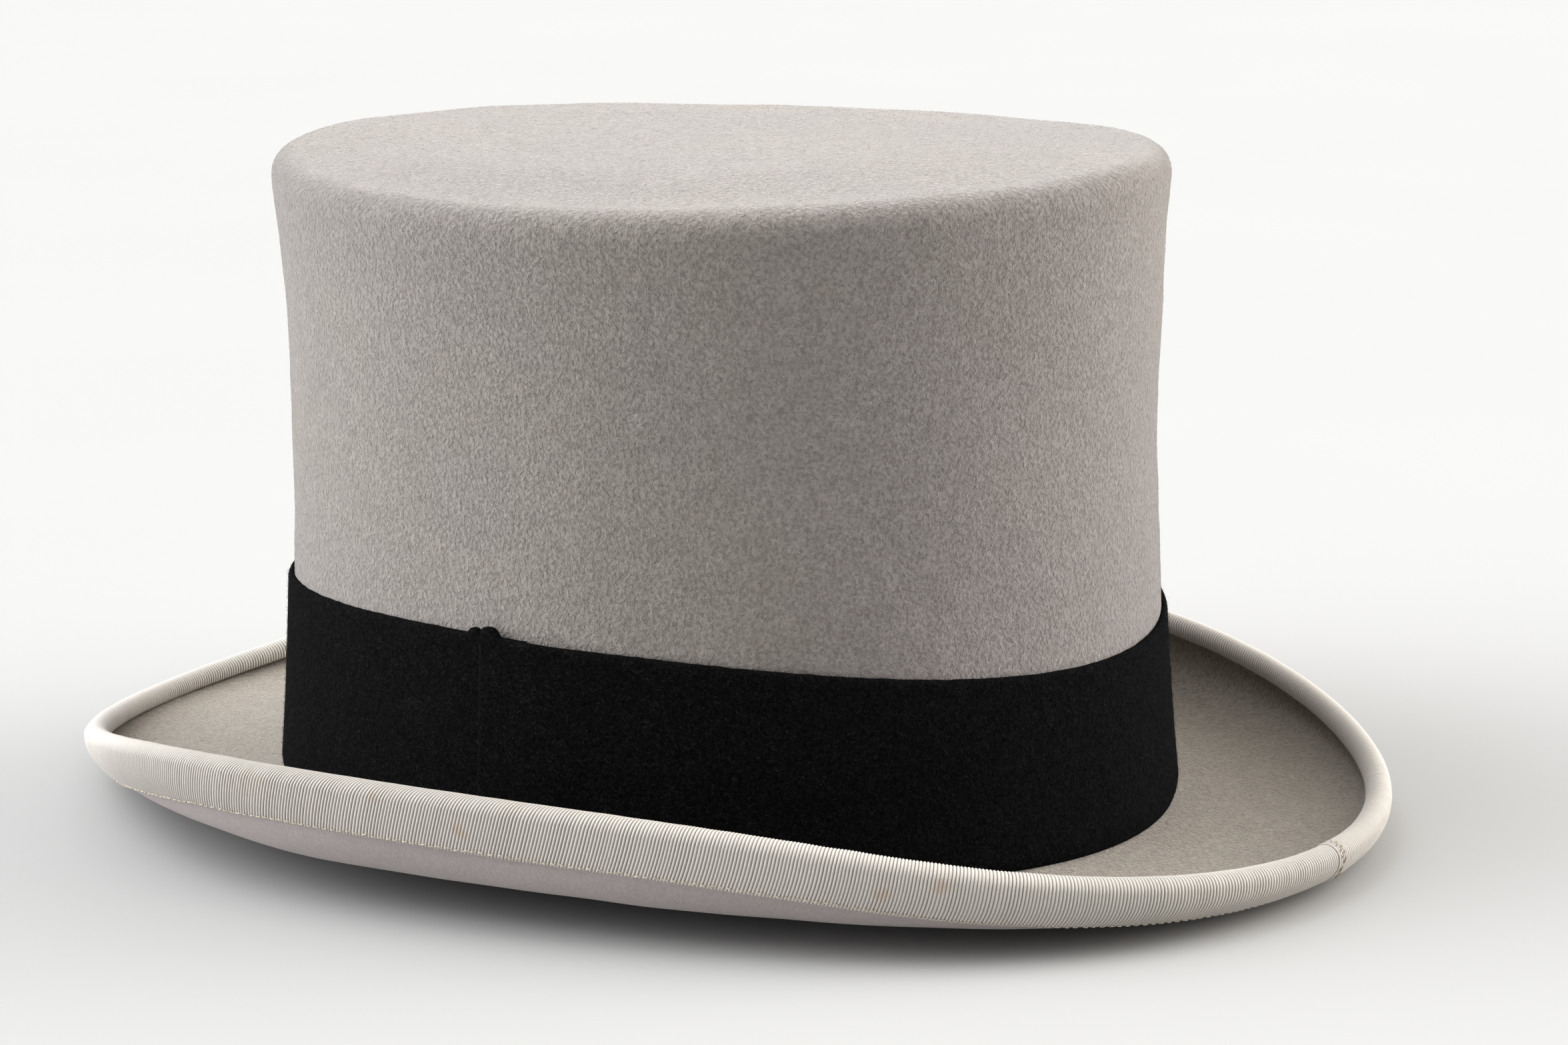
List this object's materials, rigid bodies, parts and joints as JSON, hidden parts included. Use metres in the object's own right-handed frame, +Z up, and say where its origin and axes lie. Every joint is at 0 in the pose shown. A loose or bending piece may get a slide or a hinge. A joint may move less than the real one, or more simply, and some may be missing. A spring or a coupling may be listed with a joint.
{
  "type": "top hat",
  "caption": "Fur felt top hat with an oval bell crown, dipped and curled brim, ribbon-bound rolled edge, wide felt hat band, leather sweatband and satin lining.",
  "frame": {"origin": "bottom centre of the hat standing on its brim: the middle of the brim outline, at the height of the brim's lowest points", "axes": "+Z up through the crown, +Y to the back of the hat, -Y to the front, +X to the wearer's left side, where the band's seam is"},
  "size_m": [0.2232, 0.31, 0.1465],
  "materials": {
    "fur_felt": "light warm grey fur felt, short fuzzy nap",
    "grosgrain": "ivory grosgrain ribbon, ribs across its width",
    "binding_thread": "beige sewing thread",
    "band_felt": "black wool felt, matt",
    "band_thread": "black sewing thread",
    "sweat_leather": "brown hat leather, half matt",
    "reed_cover": "brown cloth over a reed",
    "sweat_thread": "tan sewing thread",
    "bow_ribbon": "dark brown ribbon",
    "satin": "light grey-beige lining satin"
  },
  "bodies": {
    "root": {"felt_body": "fur_felt", "brim_binding": "grosgrain", "binding_stitches": "binding_thread", "join_stitches": "binding_thread", "hat_band": "band_felt", "band_tacks": "band_thread", "sweatband": "sweat_leather", "sweatband_reed": "reed_cover", "sweatband_stitches": "sweat_thread", "sweatband_bow": "bow_ribbon", "lining_side": "satin", "lining_tip": "satin"}
  },
  "joints": []
}
